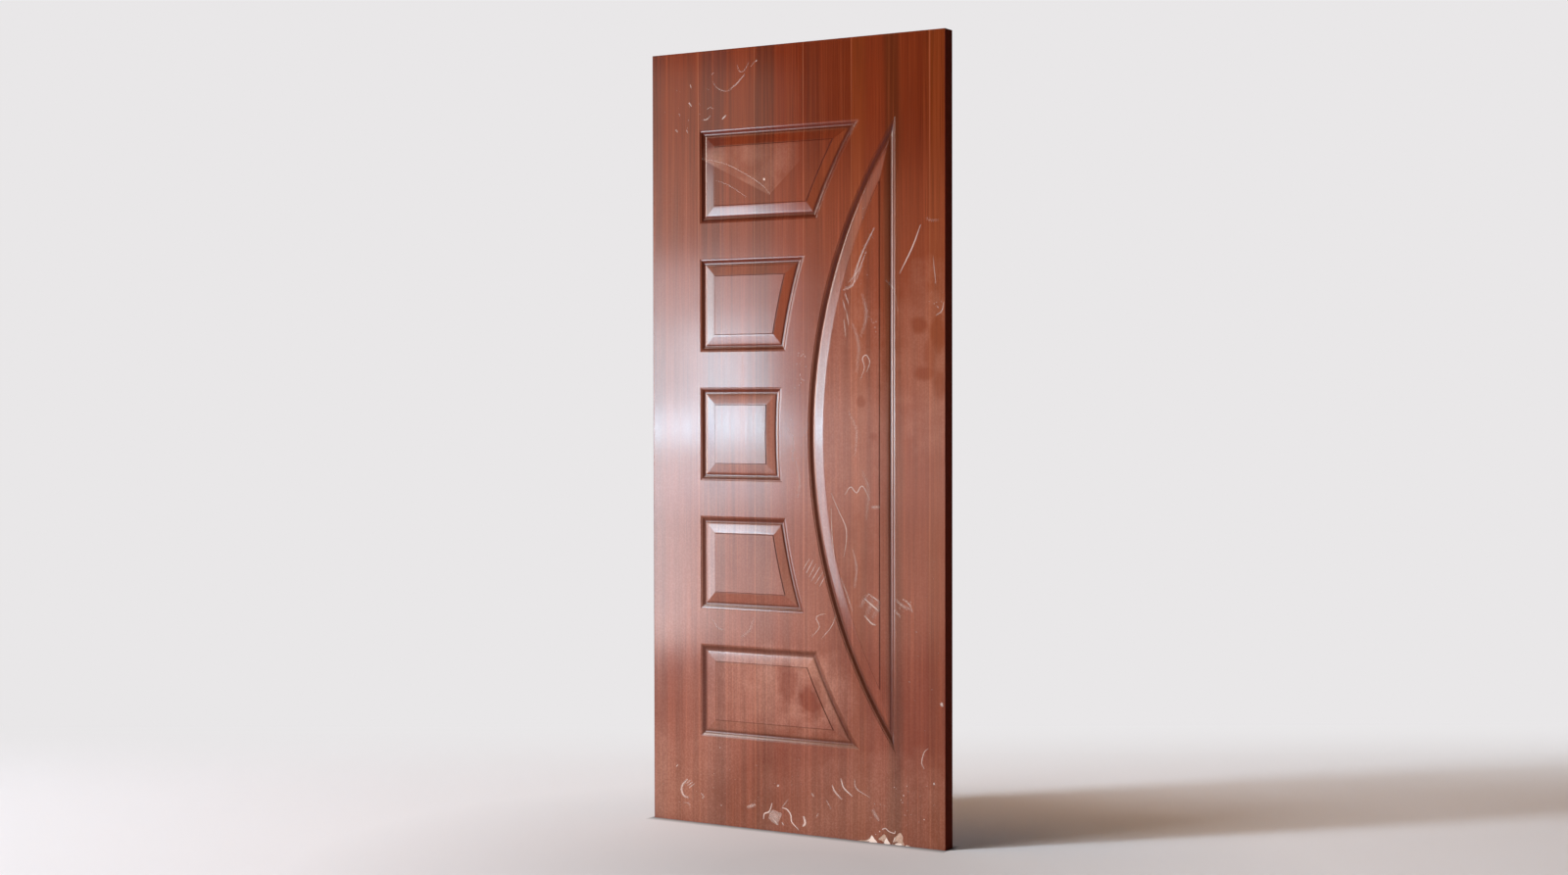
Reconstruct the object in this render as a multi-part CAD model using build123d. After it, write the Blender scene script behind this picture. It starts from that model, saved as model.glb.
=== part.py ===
from build123d import *
import os

# Moulded-panel door leaf, bare of hardware: two pressed fibreboard skins glued to a softwood frame.
# X runs along the width, Y through the thickness with the front face at -Y, Z is up from the floor.
# The origin is on the floor, at the middle of the leaf's bottom edge. All sizes are in millimetres.

# leaf
LEAF_HEIGHT = 2100.0
LEAF_WIDTH = 900.0
LEAF_THICKNESS = 40.0
SKIN_THICKNESS = 3.2
EDGE_BAND_THICKNESS = 1.0

# softwood frame between the skins
STILE_WIDTH = 32.0
TOP_RAIL_HEIGHT = 32.0
BOTTOM_RAIL_HEIGHT = 45.0
LOCK_BLOCK_WIDTH = 70.0
LOCK_BLOCK_LENGTH = 500.0
LOCK_HEIGHT = 1000.0

# panel layout on the face: a column of small panels, and a half-moon panel as tall as the column
LEFT_MARGIN = 154.0
RIGHT_MARGIN = 145.0
TOP_MARGIN = 214.0
BOTTOM_MARGIN = 238.0
PANEL_COUNT = 5
PANEL_GAP = 96.0
MOON_WIDTH = 262.0
BAND_BETWEEN_ARCS = 85.0

# pressed moulding round each panel, from its outline inwards
SHOULDER_RUN = 1.6
SHOULDER_DEPTH = 1.0
SHOULDER_RADIUS = 3.0
LEDGE_WIDTH = 3.2
LEDGE_FALL = 0.4
WALL_RUN = 7.2
COVE_RADIUS = 6.0
GROOVE_DEPTH = 5.0
GROOVE_FLAT = 4.0
OVOLO_RUN = 28.4
OVOLO_RISE = 3.4
OVOLO_FLATNESS = 1.3
LAND_WIDTH = 1.8
FIELD_STEP_RUN = 1.8
FIELD_DEPTH = 0.2

# damage along the foot of the front face, as chips seen from the front
FILM_CHIP_DEPTH = 0.6
EDGE_CHIP_DEPTH = 1.6
FILM_CHIPS = [
    [(194, 0), (221, 4), (235, 20), (249, 0)],
    [(258, 0), (253, 11), (271, 25), (277, 20), (281, 13), (290, 0)],
    [(294, 0), (303, 22), (319, 34), (326, 25), (328, 0)],
]
EDGE_CHIPS = [
    [(302, 0), (307, 5), (322, 4), (324, 0)],
    [(331, 0), (333, 4), (344, 3), (348, 0)],
]

# how far a cutting shape stands past the face that it cuts
PROUD = 2.0

FRONT_Y = -LEAF_THICKNESS / 2
CORE_THICKNESS = LEAF_THICKNESS - 2 * SKIN_THICKNESS
BODY_WIDTH = LEAF_WIDTH - 2 * EDGE_BAND_THICKNESS
SMALL_LEFT_X = -LEAF_WIDTH / 2 + LEFT_MARGIN
COLUMN_HEIGHT = LEAF_HEIGHT - TOP_MARGIN - BOTTOM_MARGIN
COLUMN_MIDDLE = BOTTOM_MARGIN + COLUMN_HEIGHT / 2
PANEL_HEIGHT = (COLUMN_HEIGHT - (PANEL_COUNT - 1) * PANEL_GAP) / PANEL_COUNT
PANEL_PITCH = PANEL_HEIGHT + PANEL_GAP

# the half-moon's arc passes through both ends of its straight side, and the small panels' right
# ends lie on a second arc about the same centre
CHORD_X = LEAF_WIDTH / 2 - RIGHT_MARGIN
MOON_ARC_RADIUS = ((COLUMN_HEIGHT / 2) ** 2 + MOON_WIDTH**2) / (2 * MOON_WIDTH)
SMALL_ARC_RADIUS = MOON_ARC_RADIUS + BAND_BETWEEN_ARCS
ARC_CENTRE_X = CHORD_X - MOON_WIDTH + MOON_ARC_RADIUS

# distances from a panel's outline to each line of its moulding
LEDGE_END = SHOULDER_RUN + LEDGE_WIDTH
WALL_FOOT = LEDGE_END + WALL_RUN
GROOVE_END = WALL_FOOT + GROOVE_FLAT
OVOLO_END = GROOVE_END + OVOLO_RUN
LAND_END = OVOLO_END + LAND_WIDTH
FIELD_START = LAND_END + FIELD_STEP_RUN

# depths of those lines below the front face
LEDGE_END_DEPTH = SHOULDER_DEPTH + LEDGE_FALL
OVOLO_TOP_DEPTH = GROOVE_DEPTH - OVOLO_RISE


def sunk_section(reach):
    """Cross-section of what is pressed away inside one side: X is inwards, Y is the depth."""
    shoulder = RadiusArc((0, 0), (SHOULDER_RUN, SHOULDER_DEPTH), -SHOULDER_RADIUS)
    rest = Polyline(
        (SHOULDER_RUN, SHOULDER_DEPTH), (LEDGE_END, LEDGE_END_DEPTH), (WALL_FOOT, GROOVE_DEPTH),
        (reach, GROOVE_DEPTH), (reach, -PROUD), (0, -PROUD), (0, 0),
    )
    section = make_face([shoulder, rest])
    wall_foot = section.vertices().sort_by_distance((WALL_FOOT, GROOVE_DEPTH))[0]
    return fillet(wall_foot, radius=COVE_RADIUS)


def raised_section(reach):
    """Cross-section of the panel's raised middle: an ovolo, a narrow land, a step and the field."""
    # flatter than the arc that would run out level, so that it meets the land in a clear line
    level_radius = (OVOLO_RUN**2 + OVOLO_RISE**2) / (2 * OVOLO_RISE)
    ovolo_radius = OVOLO_FLATNESS * level_radius
    ovolo = RadiusArc((GROOVE_END, GROOVE_DEPTH), (OVOLO_END, OVOLO_TOP_DEPTH), -ovolo_radius)
    rest = Polyline(
        (OVOLO_END, OVOLO_TOP_DEPTH), (LAND_END, OVOLO_TOP_DEPTH), (FIELD_START, FIELD_DEPTH),
        (reach, FIELD_DEPTH), (reach, GROOVE_DEPTH + PROUD), (GROOVE_END, GROOVE_DEPTH + PROUD),
        (GROOVE_END, GROOVE_DEPTH),
    )
    return make_face([ovolo, rest])


def straight_side(section, start, inwards):
    """A section run along one straight side, from a point on the outline of the front face."""
    place = Plane(origin=start, x_dir=inwards, z_dir=inwards.cross(Vector(0, 1, 0)))
    return extrude(place * section(LEAF_WIDTH), amount=LEAF_HEIGHT, both=True)


def arc_side(section, radius, outwards):
    """A section turned about the arcs' shared centre; outwards is 1 where the panel is outside."""
    centre = Vector(ARC_CENTRE_X, FRONT_Y, COLUMN_MIDDLE)
    start = centre + Vector(radius, 0, 0)
    inwards = Vector(outwards, 0, 0)
    place = Plane(origin=start, x_dir=inwards, z_dir=inwards.cross(Vector(0, 1, 0)))
    return revolve(place * section(radius / 2), axis=Axis(centre, (0, 1, 0)))


def small_panel_sides(middle, section):
    """The four sides of a small panel: straight top, bottom and left, and the arc at its right."""
    top = middle + PANEL_HEIGHT / 2
    bottom = middle - PANEL_HEIGHT / 2
    return [
        straight_side(section, Vector(SMALL_LEFT_X, FRONT_Y, middle), Vector(1, 0, 0)),
        straight_side(section, Vector(0, FRONT_Y, top), Vector(0, 0, -1)),
        straight_side(section, Vector(0, FRONT_Y, bottom), Vector(0, 0, 1)),
        arc_side(section, SMALL_ARC_RADIUS, 1),
    ]


def moon_panel_sides(section):
    """The two sides of the half-moon panel: its straight chord and its arc."""
    return [
        straight_side(section, Vector(CHORD_X, FRONT_Y, COLUMN_MIDDLE), Vector(-1, 0, 0)),
        arc_side(section, MOON_ARC_RADIUS, -1),
    ]


def common(solids):
    """What all the solids share, so that their sides meet in true mitres."""
    shared = solids[0]
    for other in solids[1:]:
        shared = shared & other
    return shared


def pressed_panels():
    """The hollow of every panel, open at the front face and ring-shaped round its raised middle."""
    panels = [common(moon_panel_sides(sunk_section)) - common(moon_panel_sides(raised_section))]
    for number in range(PANEL_COUNT):
        middle = COLUMN_MIDDLE + PANEL_PITCH * ((PANEL_COUNT - 1) / 2 - number)
        sunk = common(small_panel_sides(middle, sunk_section))
        panels.append(sunk - common(small_panel_sides(middle, raised_section)))
    return panels


def block(x_low, x_high, y_low, y_high, z_low, z_high):
    """A plain block between its lowest and highest corners."""
    size = (x_high - x_low, y_high - y_low, z_high - z_low)
    middle = ((x_low + x_high) / 2, (y_low + y_high) / 2, (z_low + z_high) / 2)
    return Pos(*middle) * Box(*size)


def pressed_skin():
    """One skin as a sheet of even thickness that follows the panels on both its faces."""
    skin = block(-BODY_WIDTH / 2, BODY_WIDTH / 2, FRONT_Y, FRONT_Y + SKIN_THICKNESS, 0, LEAF_HEIGHT)
    panels = pressed_panels()
    for panel in panels:
        skin = skin + Pos(0, SKIN_THICKNESS, 0) * panel
    for panel in panels:
        skin = skin - panel
    return skin


def chip(outline, depth):
    """A shallow chip from the front face, running out past the bottom edge."""
    place = Plane(origin=(0, FRONT_Y - PROUD, 0), x_dir=(1, 0, 0), z_dir=(0, -1, 0))
    return extrude(place * make_face(Polyline(*outline, close=True)), amount=-(depth + PROUD))


def chipped(skin):
    """The front skin with its damage along the foot."""
    for outline in FILM_CHIPS:
        skin = skin - chip(outline, FILM_CHIP_DEPTH)
    for outline in EDGE_CHIPS:
        skin = skin - chip(outline, EDGE_CHIP_DEPTH)
    return skin


def frame_block(x_low, x_high, z_low, z_high):
    """A piece of the softwood frame, as thick as the gap between the skins."""
    return block(x_low, x_high, -CORE_THICKNESS / 2, CORE_THICKNESS / 2, z_low, z_high)


def frame():
    """Two full-height stiles, two rails between them and a lock block beside each stile."""
    edge = BODY_WIDTH / 2
    inner = edge - STILE_WIDTH
    block_low = LOCK_HEIGHT - LOCK_BLOCK_LENGTH / 2
    block_high = LOCK_HEIGHT + LOCK_BLOCK_LENGTH / 2
    return {
        "left_stile": frame_block(-edge, -inner, 0, LEAF_HEIGHT),
        "right_stile": frame_block(inner, edge, 0, LEAF_HEIGHT),
        "top_rail": frame_block(-inner, inner, LEAF_HEIGHT - TOP_RAIL_HEIGHT, LEAF_HEIGHT),
        "bottom_rail": frame_block(-inner, inner, 0, BOTTOM_RAIL_HEIGHT),
        "left_lock_block": frame_block(-inner, -inner + LOCK_BLOCK_WIDTH, block_low, block_high),
        "right_lock_block": frame_block(inner - LOCK_BLOCK_WIDTH, inner, block_low, block_high),
    }


def edge_bands():
    """A thin dark band glued over each long edge, covering the stile and both skins' edges."""
    half = LEAF_THICKNESS / 2
    left = block(-LEAF_WIDTH / 2, -BODY_WIDTH / 2, -half, half, 0, LEAF_HEIGHT)
    right = block(BODY_WIDTH / 2, LEAF_WIDTH / 2, -half, half, 0, LEAF_HEIGHT)
    return {"left_edge_band": left, "right_edge_band": right}


skin = pressed_skin()
pieces = {
    "front_skin": chipped(skin),
    "back_skin": mirror(skin, about=Plane.XZ),
    **frame(),
    **edge_bands(),
}

os.makedirs("parts", exist_ok=True)
for name, piece in pieces.items():
    export_step(piece, f"parts/{name}.step")
    print(name, len(piece.solids()), round(piece.volume / 1000, 1), "cm3")
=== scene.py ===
import math
import random

import bmesh
import bpy
from mathutils import Matrix, Vector
from mathutils.geometry import tessellate_polygon


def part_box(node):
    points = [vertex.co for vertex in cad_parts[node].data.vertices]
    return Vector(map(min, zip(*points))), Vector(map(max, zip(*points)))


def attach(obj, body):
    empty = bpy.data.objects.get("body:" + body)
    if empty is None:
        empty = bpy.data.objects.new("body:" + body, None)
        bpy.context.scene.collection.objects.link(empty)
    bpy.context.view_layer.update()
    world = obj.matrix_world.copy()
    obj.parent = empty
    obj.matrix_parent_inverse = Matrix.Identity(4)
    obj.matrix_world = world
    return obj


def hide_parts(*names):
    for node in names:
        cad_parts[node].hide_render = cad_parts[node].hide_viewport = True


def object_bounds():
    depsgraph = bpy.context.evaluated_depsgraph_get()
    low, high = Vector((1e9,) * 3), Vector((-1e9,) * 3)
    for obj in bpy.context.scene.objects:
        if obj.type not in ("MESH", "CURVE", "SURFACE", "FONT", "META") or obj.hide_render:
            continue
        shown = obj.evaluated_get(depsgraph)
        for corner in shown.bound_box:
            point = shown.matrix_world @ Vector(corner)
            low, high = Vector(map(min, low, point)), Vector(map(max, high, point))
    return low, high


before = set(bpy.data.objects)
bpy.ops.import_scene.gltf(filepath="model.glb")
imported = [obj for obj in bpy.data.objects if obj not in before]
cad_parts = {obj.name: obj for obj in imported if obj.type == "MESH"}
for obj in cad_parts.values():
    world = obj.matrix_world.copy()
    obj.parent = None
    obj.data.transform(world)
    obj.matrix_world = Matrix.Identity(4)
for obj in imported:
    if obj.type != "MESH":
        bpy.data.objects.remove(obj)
cad_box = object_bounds()

# the photograph's camera, in metres and degrees
IMAGE_WIDTH = 1600
IMAGE_HEIGHT = 893
CAMERA_PLACE = Vector((3.048, -5.133, 1.165))
CAMERA_YAW = math.radians(31.05)
CAMERA_PITCH = math.radians(-1.06)
CAMERA_ROLL = math.radians(-0.1)
FOCAL_PIXELS = 2288
SENSOR_WIDTH = 36.0
# how far apart two of the photograph's pixels lie on the leaf's face
PIXEL_ON_FACE = 0.0028

# the leaf, measured from the frame
LEAF_LOW, LEAF_HIGH = cad_box
FRONT_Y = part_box("front_skin")[0].y
LEAF_HEIGHT = LEAF_HIGH[2] - LEAF_LOW[2]


def camera_axes():
    """The camera's right, up and forward directions."""
    flat = math.cos(CAMERA_PITCH)
    forward = Vector((-math.sin(CAMERA_YAW) * flat, math.cos(CAMERA_YAW) * flat, math.sin(CAMERA_PITCH)))
    right = Vector((math.cos(CAMERA_YAW), math.sin(CAMERA_YAW), 0))
    up = right.cross(forward)
    turned_right = right * math.cos(CAMERA_ROLL) + up * math.sin(CAMERA_ROLL)
    turned_up = up * math.cos(CAMERA_ROLL) - right * math.sin(CAMERA_ROLL)
    return turned_right, turned_up, forward


def add_camera():
    """The camera that the photograph was taken with."""
    right, up, forward = camera_axes()
    bpy.ops.object.camera_add()
    camera = bpy.context.object
    turn = Matrix((right, up, -forward)).transposed().to_4x4()
    camera.matrix_world = Matrix.Translation(CAMERA_PLACE) @ turn
    camera.data.sensor_width = SENSOR_WIDTH
    camera.data.lens = FOCAL_PIXELS / IMAGE_WIDTH * SENSOR_WIDTH
    bpy.context.scene.camera = camera


def new_material(name):
    """A node material, its tree and its shader."""
    material = bpy.data.materials.new(name)
    material.use_nodes = True
    return material, material.node_tree, material.node_tree.nodes["Principled BSDF"]


def feed(tree, socket, value):
    """Gives an input a number or a colour, or links another socket to it."""
    if isinstance(value, bpy.types.NodeSocket):
        tree.links.new(value, socket)
    elif socket.type == "RGBA" and len(value) == 3:
        socket.default_value = (*value, 1)
    else:
        socket.default_value = value


def add_node(tree, kind, inputs=None, **settings):
    """One node with its settings and its inputs."""
    node = tree.nodes.new("ShaderNode" + kind)
    for key, value in settings.items():
        setattr(node, key, value)
    for key, value in (inputs or {}).items():
        feed(tree, node.inputs[key], value)
    return node


def finish_shader(tree, shader, tone, rough, normal):
    """Gives a material's shader its colour, its roughness and its bump."""
    for key, value in (("Base Color", tone), ("Roughness", rough), ("Normal", normal)):
        feed(tree, shader.inputs[key], value)


def shader_choice(tree, share, first, second):
    """Two shaders mixed by a share from 0 to 1."""
    return add_node(tree, "MixShader", {0: share, 1: first, 2: second}).outputs["Shader"]


def show(tree, surface):
    """Puts a shader on the material's surface."""
    tree.links.new(surface, tree.nodes["Material Output"].inputs["Surface"])


def maths(tree, operation, first, second=0.0, clamp=False):
    """One sum, product or other operation on two values."""
    inputs = {0: first, 1: second}
    return add_node(tree, "Math", inputs, operation=operation, use_clamp=clamp).outputs[0]


def plus(tree, first, second):
    """The sum of two values."""
    return maths(tree, "ADD", first, second)


def minus(tree, first, second):
    """One value less another."""
    return maths(tree, "SUBTRACT", first, second)


def times(tree, product, *factors):
    """The product of two or more values."""
    for factor in factors:
        product = maths(tree, "MULTIPLY", product, factor)
    return product


def scaled(tree, colour, factor):
    """A colour made lighter or darker by a factor."""
    return add_node(tree, "VectorMath", {0: colour, "Scale": factor}, operation="SCALE").outputs[0]


def place(tree):
    """The point in metres in the leaf's own frame."""
    return add_node(tree, "TexCoord").outputs["Object"]


def stretched(tree, scale, shift=(0, 0, 0)):
    """That point scaled along each axis, for grain that runs up the leaf."""
    inputs = {"Vector": place(tree), "Scale": scale, "Location": shift}
    return add_node(tree, "Mapping", inputs).outputs["Vector"]


def noise(tree, scale, detail=2.0, rough=0.5, shift=(0, 0, 0)):
    """Noise stretched along each axis by its own scale."""
    inputs = {"Vector": stretched(tree, scale, shift), "Scale": 1, "Detail": detail, "Roughness": rough}
    return add_node(tree, "TexNoise", inputs).outputs["Fac"]


def ramp(tree, value, stops, interpolation="LINEAR"):
    """A colour ramp through stops of place and colour, smooth or in steps."""
    node = add_node(tree, "ValToRGB", {"Fac": value})
    node.color_ramp.interpolation = interpolation
    elements = node.color_ramp.elements
    for element, (position, colour) in zip(elements, (stops[0], stops[-1])):
        element.position, element.color = position, (*colour, 1)
    for position, colour in stops[1:-1]:
        elements.new(position).color = (*colour, 1)
    return node.outputs["Color"]


# the range that noise mostly keeps
NOISE_RANGE = (0.3, 0.7)


def spread(tree, value, low, high, to_low=0.0, to_high=1.0):
    """A value carried from one range to another, and held at its ends."""
    inputs = {"Value": value, "From Min": low, "From Max": high, "To Min": to_low, "To Max": to_high}
    return add_node(tree, "MapRange", inputs).outputs["Result"]


def vary(tree, value, to_low=0.0, to_high=1.0):
    """A noise carried from the range it mostly keeps to another range."""
    return spread(tree, value, *NOISE_RANGE, to_low, to_high)


def mix(tree, factor, first, second):
    """Two colours mixed by a factor."""
    return add_node(tree, "Mix", {0: factor, 6: first, 7: second}, data_type="RGBA").outputs[2]


def bump(tree, height, strength, distance):
    """A bump made from a height, for the shader's normal."""
    inputs = {"Height": height, "Strength": strength, "Distance": distance}
    return add_node(tree, "Bump", inputs).outputs["Normal"]


def srgb(red, green, blue):
    """A colour given in screen values, 0 to 255, as linear values."""
    def linear(value):
        value = value / 255
        return value / 12.92 if value <= 0.04045 else ((value + 0.055) / 1.055) ** 2.4
    return linear(red), linear(green), linear(blue)


# tones of the printed woodgrain, in screen values
RED_BROWN = (101, 39, 16)
PURPLE_BROWN = (87, 36, 23)
DARK_BROWN = (87, 32, 12)
FLAME_BROWN = (102, 36, 11)
ORANGE_BROWN = (107, 46, 18)
OLIVE_BROWN = (84, 36, 15)
STREAK_TONE = (123, 57, 27)
SHADE_TONE = (72, 28, 17)
PORE_TONE = (59, 20, 8)
JOINT_TONE = (145, 81, 51)
# bands of tone across the printed leaves: where each begins and ends in metres, and its tone
FILM_BANDS = (
    (-0.45, -0.425, PURPLE_BROWN), (-0.405, -0.3, RED_BROWN), (-0.272, -0.216, PURPLE_BROWN),
    (-0.204, -0.123, RED_BROWN), (-0.121, -0.075, DARK_BROWN), (-0.055, 0.028, FLAME_BROWN),
    (0.04, 0.172, RED_BROWN), (0.178, 0.207, ORANGE_BROWN), (0.222, 0.268, RED_BROWN),
    (0.282, 0.308, OLIVE_BROWN), (0.33, 0.395, RED_BROWN), (0.415, 0.45, ORANGE_BROWN),
)
# where one printed leaf ends and the next begins, and how much lighter or darker each leaf is
LEAF_JOINTS = (-0.301, -0.122, 0.03, 0.176, 0.406)
LEAF_LEVELS = (0.99, 1.02, 0.99, 0.96, 1.03, 1.03)
# a ramp holds values up to 1, so the levels go through it divided by this
LEVEL_SCALE = 2.0
JOINT_LINE_WIDTH = 0.0022
# how far the bands of tone wander to either side
BAND_SWAY = 0.012
LEAF_LEFT, LEAF_RIGHT = -0.45, 0.45


def across_leaf(x):
    """A place across the leaf as a share of its width."""
    return (x - LEAF_LEFT) / (LEAF_RIGHT - LEAF_LEFT)


def film_tone(tree, across):
    """The printed woodgrain's colour: leaves of their own tone, wavy bands, streaks and pores."""
    wander = noise(tree, (2.2, 0.5, 1.7), detail=2, shift=(21, 0, 0))
    sway = spread(tree, wander, 0.25, 0.75, -BAND_SWAY, BAND_SWAY)
    share = spread(tree, plus(tree, across, sway), LEAF_LEFT, LEAF_RIGHT)
    stops = []
    for begins, ends, tone in FILM_BANDS:
        stops += [(across_leaf(begins), srgb(*tone)), (across_leaf(ends), srgb(*tone))]
    tone = ramp(tree, share, stops)
    broad = noise(tree, (34, 0.3, 0.8), detail=3, rough=0.6)
    streaks = noise(tree, (120, 0.3, 1.4), detail=4, rough=0.65, shift=(3, 0, 0))
    fine = noise(tree, (520, 1, 4.5), detail=3, rough=0.6, shift=(7, 0, 0))
    tone = mix(tree, spread(tree, streaks, 0.5, 0.72, 0, 0.6), tone, srgb(*STREAK_TONE))
    tone = mix(tree, spread(tree, broad, 0.42, 0.26, 0, 0.45), tone, srgb(*SHADE_TONE))
    tone = mix(tree, spread(tree, fine, 0.52, 0.78, 0, 0.5), tone, srgb(*PORE_TONE))
    starts = (0.0, *map(across_leaf, LEAF_JOINTS))
    levels = [(start, (level / LEVEL_SCALE,) * 3) for start, level in zip(starts, LEAF_LEVELS)]
    level = ramp(tree, spread(tree, across, LEAF_LEFT, LEAF_RIGHT), levels, "CONSTANT")
    tone = scaled(tree, tone, times(tree, level, LEVEL_SCALE))
    for joint in LEAF_JOINTS:
        away = maths(tree, "ABSOLUTE", minus(tree, across, joint))
        line = spread(tree, away, JOINT_LINE_WIDTH * 0.3, JOINT_LINE_WIDTH, 1, 0)
        line = times(tree, line, spread(tree, streaks, 0.35, 0.6, 0.3, 0.6))
        tone = mix(tree, line, tone, srgb(*JOINT_TONE))
    grain = times(tree, vary(tree, streaks, 0.94, 1.07), vary(tree, broad, 0.86, 1.14))
    grain = times(tree, grain, vary(tree, fine, 1.08, 0.92))
    return tone, streaks, fine, grain


# the thin dust on the film, which towards the bottom also carries painted light, and how much thicker or
# thinner it is along the left and right edges
DUST_AND_LIGHT_COVER = 0.22
DUST_AND_LIGHT_ACROSS = (1.4, 0.45)
# the dust begins at the first height and is at its thickest below the second; with it comes painted light
# that makes the leaf lighter towards the bottom
DUST_AND_LIGHT_HEIGHTS = (1.9, 0.5)
DUST_AND_LIGHT_TONE = (222, 174, 152)
# dirt and painted shade in the mouldings' grooves
GROOVE_SHADE_AND_DIRT_COVER = 0.75
GROOVE_SHADE_AND_DIRT_TONE = (54, 16, 7)
DIRT_ROUGHNESS = 0.06
FILM_IOR = 1.4
# places wiped clean of dust, and places with more of it: the middle across and up the leaf, the
# half-width, the half-height and how strong it is
CLEAN_SPOTS = (
    (-0.022, 0.392, 0.03, 0.06, 0.55), (0.053, 0.36, 0.042, 0.052, 0.75),
    (0.376, 1.346, 0.022, 0.02, 0.7), (0.43, 1.322, 0.024, 0.044, 0.8), (0.392, 1.222, 0.03, 0.018, 0.7),
    (0.432, 1.19, 0.018, 0.034, 0.6), (0.405, 1.27, 0.016, 0.04, 0.5), (0.205, 1.15, 0.012, 0.014, 0.6),
    (0.24, 1.06, 0.012, 0.01, 0.5),
)
DUSTY_SPOTS = (
    (0, 0.38, 0.15, 0.1, 0.9), (-0.13, 0.37, 0.12, 0.09, 0.4), (0.3, 0.06, 0.22, 0.15, 0.55),
    (0.03, 0.05, 0.2, 0.11, 0.35), (-0.36, 0.11, 0.12, 0.14, 0.3), (0.17, 1.12, 0.09, 0.34, 0.3),
    (0.4, 1.26, 0.08, 0.2, 0.5),
)


def soft_spots(tree, across, height, spots, shift, soft):
    """Soft-edged uneven spots on the face, as a strength from 0 upwards."""
    ragged = vary(tree, noise(tree, (24, 24, 24), detail=3, shift=(shift, 0, 0)), -0.5, 0.5)
    total = 0.0
    for x, z, half_width, half_height, strength in spots:
        over = maths(tree, "DIVIDE", minus(tree, across, x), half_width)
        up = maths(tree, "DIVIDE", minus(tree, height, z), half_height)
        squares = plus(tree, times(tree, over, over), times(tree, up, up))
        spot = spread(tree, plus(tree, squares, ragged), 1 + soft, 1 - soft, 0, strength)
        total = maths(tree, "MAXIMUM", total, spot)
    return total


# a milky smear wiped across the top small panel, with a lower edge that falls in a V: the V's foot
# across and up the leaf, how it rises to the left and to the right, and the smear's top and ends
SMEAR_FOOT = (-0.075, 1.7)
SMEAR_RISES = (0.49, 0.9)
SMEAR_TOP = 1.842
SMEAR_ENDS = (-0.292, 0.03)
SMEAR_COVER = 0.8
# over what distances the smear begins, thins out upwards, and ends at its left and top and its right
SMEAR_EDGE = 0.004
SMEAR_FADE = 0.14
SMEAR_SOFT_END = 0.01
SMEAR_LONG_END = 0.1


def milky_smear(tree, across, height):
    """How strongly the smear lies on the top small panel: sharpest along its V-shaped lower edge."""
    aside = minus(tree, across, SMEAR_FOOT[0])
    left = times(tree, maths(tree, "MINIMUM", aside, 0.0), -SMEAR_RISES[0])
    right = times(tree, maths(tree, "MAXIMUM", aside, 0.0), SMEAR_RISES[1])
    above = minus(tree, height, plus(tree, plus(tree, left, right), SMEAR_FOOT[1]))
    return times(
        tree, spread(tree, above, 0.0, SMEAR_EDGE), spread(tree, above, SMEAR_FADE, 0.0, 0.45, 1),
        spread(tree, noise(tree, (14, 9, 11), detail=2, shift=(57, 0, 0)), 0.35, 0.65, 0.25, 1),
        spread(tree, across, SMEAR_ENDS[0], SMEAR_ENDS[0] + SMEAR_SOFT_END),
        spread(tree, across, SMEAR_ENDS[1], SMEAR_ENDS[1] - SMEAR_LONG_END),
        spread(tree, height, SMEAR_TOP, SMEAR_TOP - SMEAR_SOFT_END),
    )


def dust_and_light_film(tree, across, height, front):
    """How thick the dust is, which also paints light that makes the leaf lighter towards the bottom: none
    near the top, cloudy below; on the front also smeared and wiped.
    """
    # painted light: the dust that thickens towards the bottom also lightens the leaf there
    lower_dust_and_light = spread(tree, height, *DUST_AND_LIGHT_HEIGHTS)
    clouds = vary(tree, noise(tree, (4, 4, 3), detail=3, shift=(11, 0, 0)), 0.45, 1)
    specks = spread(tree, noise(tree, (190, 190, 190), detail=2, shift=(5, 0, 0)), 0.4, 0.7, 0.8, 1.1)
    aside = spread(tree, across, LEAF_LEFT, LEAF_RIGHT, *DUST_AND_LIGHT_ACROSS)
    smear = times(tree, milky_smear(tree, across, height), SMEAR_COVER)
    patches = plus(tree, smear, soft_spots(tree, across, height, DUSTY_SPOTS, shift=31, soft=0.9))
    dust_and_light = plus(tree, times(tree, lower_dust_and_light, clouds, aside), times(tree, patches, front))
    wiped = times(tree, soft_spots(tree, across, height, CLEAN_SPOTS, shift=43, soft=0.7), front)
    clean = maths(tree, "SUBTRACT", 1.0, wiped, clamp=True)
    return times(tree, dust_and_light, clean, specks)


def film_material():
    """Printed woodgrain film, glossy, with dirt and painted shade in its grooves, and a thin dust that
    also carries painted light towards the bottom.
    """
    material, tree, shader = new_material("woodgrain_film")
    point = add_node(tree, "SeparateXYZ", {"Vector": place(tree)})
    tone, streaks, fine, grain = film_tone(tree, point.outputs["X"])
    front = spread(tree, point.outputs["Y"], 0.001, -0.001)
    dust_and_light = dust_and_light_film(tree, point.outputs["X"], point.outputs["Z"], front)
    tone = scaled(tree, mix(tree, times(tree, dust_and_light, DUST_AND_LIGHT_COVER), tone, srgb(*DUST_AND_LIGHT_TONE)), grain)
    groove_shade_and_dirt = add_node(tree, "Attribute", attribute_name="groove_shade_and_dirt").outputs["Fac"]
    # painted shade and dirt darken the film in the grooves
    tone = mix(tree, times(tree, groove_shade_and_dirt, GROOVE_SHADE_AND_DIRT_COVER), tone, srgb(*GROOVE_SHADE_AND_DIRT_TONE))
    rough = plus(tree, vary(tree, streaks, 0.11, 0.15), times(tree, groove_shade_and_dirt, DIRT_ROUGHNESS))
    finish_shader(tree, shader, tone, rough, bump(tree, fine, 0.15, 0.0002))
    shader.inputs["IOR"].default_value = FILM_IOR
    return material


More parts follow.
